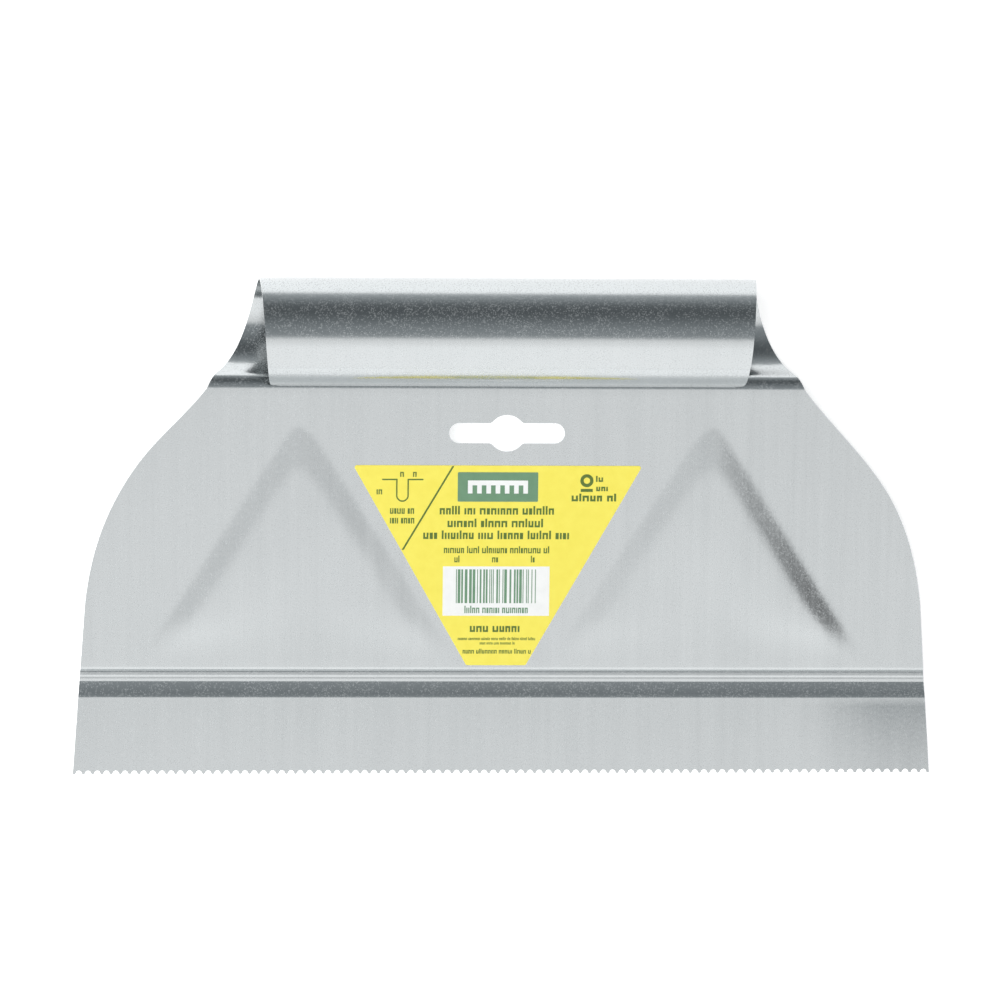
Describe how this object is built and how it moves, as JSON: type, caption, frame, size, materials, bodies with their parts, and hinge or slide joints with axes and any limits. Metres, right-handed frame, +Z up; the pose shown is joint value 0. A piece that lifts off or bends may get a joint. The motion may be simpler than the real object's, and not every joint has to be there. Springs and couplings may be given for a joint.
{
  "type": "notched adhesive spreader",
  "caption": "Hand spreader pressed from one zinc-coated steel sheet, with a notched blade, V-shaped ribs, a rolled tube handle, a hanging slot and a stuck-on label.",
  "frame": {"origin": "under the middle of the bounding box, on the surface that the spreader lies on", "axes": "+X along the blade, +Y from the notched edge towards the handle, +Z up, the side with the label and the ribs facing up"},
  "size_m": [0.2286, 0.1328, 0.0267],
  "materials": {
    "steel": "zinc-coated sheet steel, satin and slightly grained",
    "label": "printed yellow self-adhesive film"
  },
  "bodies": {
    "root": {"steel_sheet": "steel", "label": "label"}
  },
  "joints": []
}
